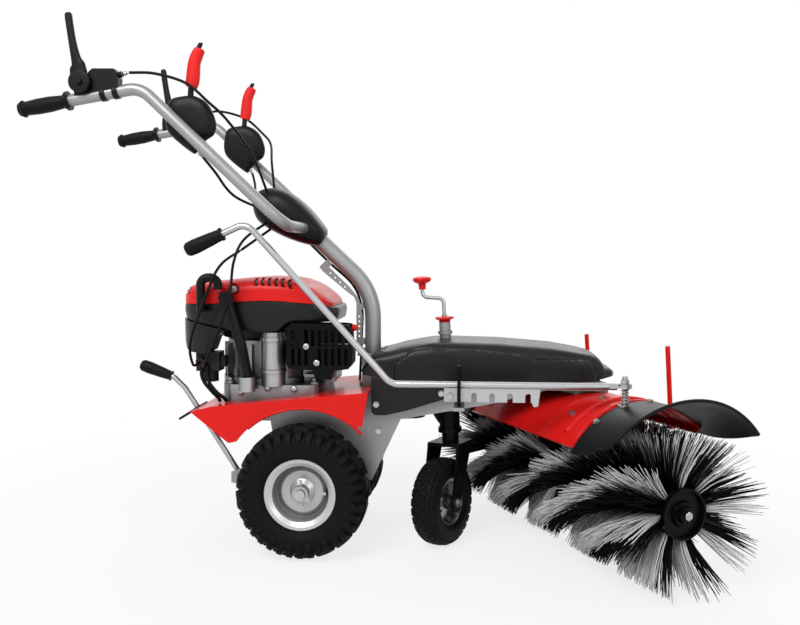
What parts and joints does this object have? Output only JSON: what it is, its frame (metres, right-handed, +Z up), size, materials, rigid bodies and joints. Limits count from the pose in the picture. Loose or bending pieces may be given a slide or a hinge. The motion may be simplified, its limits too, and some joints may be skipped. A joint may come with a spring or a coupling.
{
  "type": "power brush sweeper",
  "caption": "Walk-behind power brush sweeper with a red petrol engine unit, two drive wheels, a jacked castor, and a swinging bristle brush under a red hood.",
  "frame": {"origin": "middle of the bounding box on the ground", "axes": "+X forward from the handles to the brush, +Y to the left of a person at the handles, +Z up"},
  "size_m": [1.6987, 0.9474, 1.3033],
  "materials": {
    "frame_grey": "satin grey paint",
    "red_paint": "glossy red paint",
    "red_plastic": "glossy red moulding",
    "black_plastic": "fine-grained black moulding",
    "grip_rubber": "matte black rubber",
    "black_steel": "satin black paint",
    "cast_alloy": "as-cast alloy",
    "gear_iron": "dark painted casting",
    "zinc_steel": "bright zinc plating",
    "rim_silver": "silver paint",
    "tyre_black": "black tyre rubber",
    "bristle_black": "black polymer strands",
    "bristle_grey": "pale polymer strands"
  },
  "bodies": {
    "chassis": {"main_frame": "frame_grey", "engine_deck": "red_paint", "gearbox": "gear_iron", "belt_cover": "black_plastic", "cover_panels": "black_plastic", "column_tube": "frame_grey", "handlebar": "frame_grey", "console_shell": "black_plastic", "handle_grips": "grip_rubber", "lever_brackets": "black_plastic", "lever_quadrants": "black_plastic", "control_cables": "black_plastic", "rod_guide": "black_steel", "frame_bolts": "zinc_steel", "lever_slot_plate": "black_steel", "crankcase": "cast_alloy", "engine_shroud": "black_plastic", "engine_cowl": "red_plastic", "muffler": "black_steel", "air_filter": "black_plastic", "carburettor": "cast_alloy", "oil_tube": "black_plastic", "starter_grip": "black_plastic", "drive_belts": "grip_rubber", "jack_housing": "black_steel", "jack_neck": "frame_grey"},
    "wheels": {"drive_axle": "zinc_steel", "wheel_rims": "rim_silver", "wheel_tyres": "tyre_black"},
    "engine_shaft": {"engine_pulley": "zinc_steel"},
    "belt_shaft": {"jackshaft": "zinc_steel"},
    "brush_drive": {"brush_drive_shaft": "zinc_steel"},
    "head": {"turntable": "frame_grey", "brush_hood": "red_paint", "end_flaps": "grip_rubber", "brush_gear_case": "cast_alloy", "marker_rods": "red_paint", "hood_bolts": "zinc_steel", "rod_bolt": "zinc_steel", "rod_spring": "zinc_steel"},
    "brush": {"brush_core": "black_steel", "end_discs": "black_steel", "bristles_black": "bristle_black", "bristles_white": "bristle_grey"},
    "rod": {"steering_rod": "zinc_steel", "rod_grip": "grip_rubber"},
    "crank": {"jack_crank": "zinc_steel", "crank_knob": "red_plastic", "crank_disc": "red_plastic"},
    "castor_leg": {"castor_stem": "black_steel"},
    "castor_swivel": {"castor_fork": "black_steel", "castor_axle": "zinc_steel"},
    "castor_wheel": {"castor_rim": "rim_silver", "castor_tyre": "tyre_black"},
    "right_hand_lever": {"hand_lever_right": "black_plastic"},
    "left_hand_lever": {"hand_lever_left": "black_plastic"},
    "right_control": {"control_lever_right": "red_plastic"},
    "left_control": {"control_lever_left": "red_plastic"},
    "rear_shift": {"rear_lever": "zinc_steel", "rear_lever_grip": "grip_rubber"}
  },
  "joints": [
    {"name": "wheels_roll", "type": "hinge", "parent": "chassis", "child": "wheels", "pos_m": [-0.208, 0, 0.165], "axis": [0, 1, 0], "continuous": true},
    {"name": "engine_turn", "type": "hinge", "parent": "chassis", "child": "engine_shaft", "pos_m": [-0.328, 0, 0.333], "axis": [0, 0, 1], "continuous": true},
    {"name": "belt_shaft_turn", "type": "hinge", "parent": "chassis", "child": "belt_shaft", "pos_m": [0.039, 0, 0.333], "axis": [0, 0, 1], "continuous": true},
    {"name": "brush_drive_turn", "type": "hinge", "parent": "chassis", "child": "brush_drive", "pos_m": [0.482, 0, 0.455], "axis": [0, 0, 1], "continuous": true},
    {"name": "head_swing", "type": "hinge", "parent": "chassis", "child": "head", "pos_m": [0.482, 0, 0.417], "axis": [0, 0, 1], "range_deg": [-34, 0]},
    {"name": "brush_turn", "type": "hinge", "parent": "head", "child": "brush", "pos_m": [0.482, 0, 0.186], "axis": [-0.454, 0.891, 0], "continuous": true},
    {"name": "rod_swing", "type": "hinge", "parent": "head", "child": "rod", "pos_m": [0.558, -0.25, 0.446], "axis": [0, 0, 1], "range_deg": [0, 34]},
    {"name": "crank_turn", "type": "hinge", "parent": "chassis", "child": "crank", "pos_m": [0.144, 0, 0.43], "axis": [-0.0523, 0, 0.9986], "range_deg": [0, 1800]},
    {"name": "castor_lift", "type": "slide", "parent": "chassis", "child": "castor_leg", "axis": [-0.0523, 0, 0.9986], "range_m": [0, 0.02]},
    {"name": "castor_turn", "type": "hinge", "parent": "castor_leg", "child": "castor_swivel", "pos_m": [0.144, 0, 0.43], "axis": [-0.0523, 0, 0.9986], "range_deg": [-140, 50]},
    {"name": "castor_roll", "type": "hinge", "parent": "castor_swivel", "child": "castor_wheel", "pos_m": [0.1334, -0.05121, 0.11191], "axis": [-0.8817, 0.4695, -0.0462], "continuous": true},
    {"name": "right_hand_lever_squeeze", "type": "hinge", "parent": "chassis", "child": "right_hand_lever", "pos_m": [-0.693, -0.305, 1.145], "axis": [0, -1, 0], "range_deg": [0, 66], "stiffness_Nm_per_rad": 1, "springref_deg": -17.19},
    {"name": "left_hand_lever_squeeze", "type": "hinge", "parent": "chassis", "child": "left_hand_lever", "pos_m": [-0.693, 0.305, 1.145], "axis": [0, -1, 0], "range_deg": [0, 66], "stiffness_Nm_per_rad": 1, "springref_deg": -17.19},
    {"name": "right_control_shift", "type": "hinge", "parent": "chassis", "child": "right_control", "pos_m": [-0.457, -0.24, 1.062], "axis": [0, 1, 0], "range_deg": [-30, 30]},
    {"name": "left_control_shift", "type": "hinge", "parent": "chassis", "child": "left_control", "pos_m": [-0.457, 0.24, 1.062], "axis": [0, 1, 0], "range_deg": [-30, 30]},
    {"name": "rear_lever_shift", "type": "hinge", "parent": "chassis", "child": "rear_shift", "pos_m": [-0.397, -0.06, 0.173], "axis": [0, -1, 0], "range_deg": [0, 7.5]}
  ],
  "couplings": [
    {"joint": "engine_turn", "follows": "brush_turn", "ratio": 4},
    {"joint": "belt_shaft_turn", "follows": "brush_turn", "ratio": 4},
    {"joint": "brush_drive_turn", "follows": "brush_turn", "ratio": 4},
    {"joint": "rod_swing", "follows": "head_swing", "ratio": -1},
    {"joint": "crank_turn", "follows": "castor_lift", "rad_per_m": 1570.8}
  ]
}
